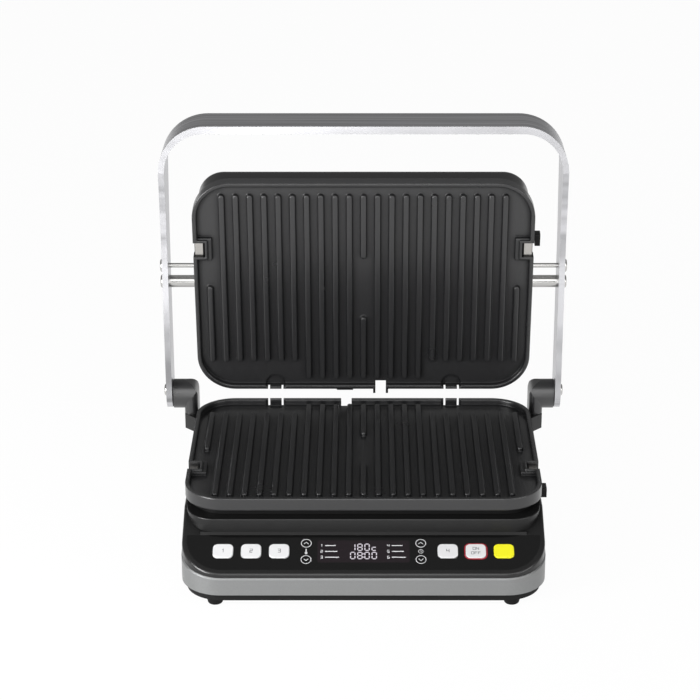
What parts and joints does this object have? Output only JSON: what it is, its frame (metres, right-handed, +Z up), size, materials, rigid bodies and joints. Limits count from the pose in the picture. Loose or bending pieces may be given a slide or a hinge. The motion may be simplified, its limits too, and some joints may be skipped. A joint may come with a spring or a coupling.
{
  "type": "electric contact grill",
  "caption": "Countertop contact grill with two ribbed plates, a lid hung in an arched bail handle and a sloping key panel in front.",
  "frame": {"origin": "on the counter, under the middle of the grill's outline with the lid open", "axes": "+X to the user's right, +Y to the back, +Z up"},
  "size_m": [0.3638, 0.2895, 0.3403],
  "materials": {
    "housing_black": "satin moulded black",
    "panel_black": "glossy black",
    "window_dark": "dark glossy window",
    "band_silver": "satin silver",
    "plate_coating": "cast, with a black non-stick coat",
    "bail_metal": "brushed",
    "bright_steel": "bright plated",
    "sheet_steel": "pressed sheet",
    "element_steel": "oxidised tube",
    "ceramic_white": "matt",
    "key_white": "satin white",
    "key_yellow": "satin yellow",
    "board_green": "circuit board",
    "switch_grey": "moulded",
    "foot_rubber": "matt"
  },
  "bodies": {
    "base": {"base_cover": "housing_black", "rubber_feet": "foot_rubber", "cover_screws": "sheet_steel", "lower_shell": "band_silver", "top_housing": "housing_black", "control_panel": "panel_black", "display_window": "window_dark", "display_module": "switch_grey", "control_board": "board_green", "key_switches": "switch_grey", "power_board": "board_green", "cord_gland": "housing_black", "hinge_elbow_left": "housing_black", "hinge_elbow_right": "housing_black", "elbow_screws": "sheet_steel", "elbow_washers": "housing_black", "bail_pivot_bolts": "bright_steel", "lower_plate": "plate_coating", "lower_reflector": "sheet_steel", "lower_heating_element": "element_steel", "lower_element_rests": "ceramic_white", "lower_heat_probe": "sheet_steel", "lower_latch_pin": "sheet_steel", "lower_fixed_catch": "bright_steel"},
    "bail": {"handle_bail": "bail_metal", "lid_pivot_pins": "bright_steel", "lid_stop_pins": "bright_steel"},
    "lid": {"lid_housing": "housing_black", "upper_plate": "plate_coating", "upper_reflector": "sheet_steel", "upper_heating_element": "element_steel", "upper_element_rests": "ceramic_white", "upper_heat_probe": "sheet_steel", "upper_latch_pin": "sheet_steel", "upper_fixed_catch": "bright_steel"},
    "tray": {"drip_tray": "housing_black"},
    "lower_button": {"lower_release_button": "housing_black"},
    "lower_clip": {"lower_latch_clip": "bright_steel"},
    "upper_button": {"upper_release_button": "housing_black"},
    "upper_clip": {"upper_latch_clip": "bright_steel"},
    "key_left_outer": {"key_left_outer": "key_white"},
    "key_left_middle": {"key_left_middle": "key_white"},
    "key_left_inner": {"key_left_inner": "key_white"},
    "key_right_inner": {"key_right_inner": "key_white"},
    "key_right_middle": {"key_right_middle": "key_white"},
    "key_right_outer": {"key_right_outer": "key_yellow"}
  },
  "joints": [
    {"name": "bail_hinge", "type": "hinge", "parent": "base", "child": "bail", "pos_m": [0, 0.1101, 0.0855], "axis": [1, 0, 0], "range_deg": [-97.16, 81.8]},
    {"name": "lid_tilt", "type": "hinge", "parent": "bail", "child": "lid", "pos_m": [0, 0.11243, 0.19067], "axis": [1, 0, 0], "range_deg": [-8, 2.3]},
    {"name": "tray_slide", "type": "slide", "parent": "base", "child": "tray", "axis": [0, 1, 0], "range_m": [0, 0.055]},
    {"name": "lower_button_push", "type": "slide", "parent": "base", "child": "lower_button", "axis": [-1, 0, 0], "range_m": [0, 0.0014], "stiffness_N_per_m": 1500},
    {"name": "lower_clip_rock", "type": "hinge", "parent": "base", "child": "lower_clip", "pos_m": [0.14575, -0.0368, 0.0593], "axis": [0, 1, 0], "range_deg": [0, 11]},
    {"name": "upper_button_push", "type": "slide", "parent": "lid", "child": "upper_button", "axis": [-1, 0, 0], "range_m": [0, 0.0014], "stiffness_N_per_m": 1500},
    {"name": "upper_clip_rock", "type": "hinge", "parent": "lid", "child": "upper_clip", "pos_m": [0.14575, 0.10616, 0.23184], "axis": [0, -0.1246, 0.9922], "range_deg": [0, 11]},
    {"name": "key_left_outer_press", "type": "slide", "parent": "base", "child": "key_left_outer", "axis": [0, 0.4067, -0.9135], "range_m": [0, 0.0008], "stiffness_N_per_m": 1200},
    {"name": "key_left_middle_press", "type": "slide", "parent": "base", "child": "key_left_middle", "axis": [0, 0.4067, -0.9135], "range_m": [0, 0.0008], "stiffness_N_per_m": 1200},
    {"name": "key_left_inner_press", "type": "slide", "parent": "base", "child": "key_left_inner", "axis": [0, 0.4067, -0.9135], "range_m": [0, 0.0008], "stiffness_N_per_m": 1200},
    {"name": "key_right_inner_press", "type": "slide", "parent": "base", "child": "key_right_inner", "axis": [0, 0.4067, -0.9135], "range_m": [0, 0.0008], "stiffness_N_per_m": 1200},
    {"name": "key_right_middle_press", "type": "slide", "parent": "base", "child": "key_right_middle", "axis": [0, 0.4067, -0.9135], "range_m": [0, 0.0008], "stiffness_N_per_m": 1200},
    {"name": "key_right_outer_press", "type": "slide", "parent": "base", "child": "key_right_outer", "axis": [0, 0.4067, -0.9135], "range_m": [0, 0.0008], "stiffness_N_per_m": 1200}
  ],
  "couplings": [
    {"joint": "lower_clip_rock", "follows": "lower_button_push", "rad_per_m": 137.13},
    {"joint": "upper_clip_rock", "follows": "upper_button_push", "rad_per_m": 137.13}
  ]
}
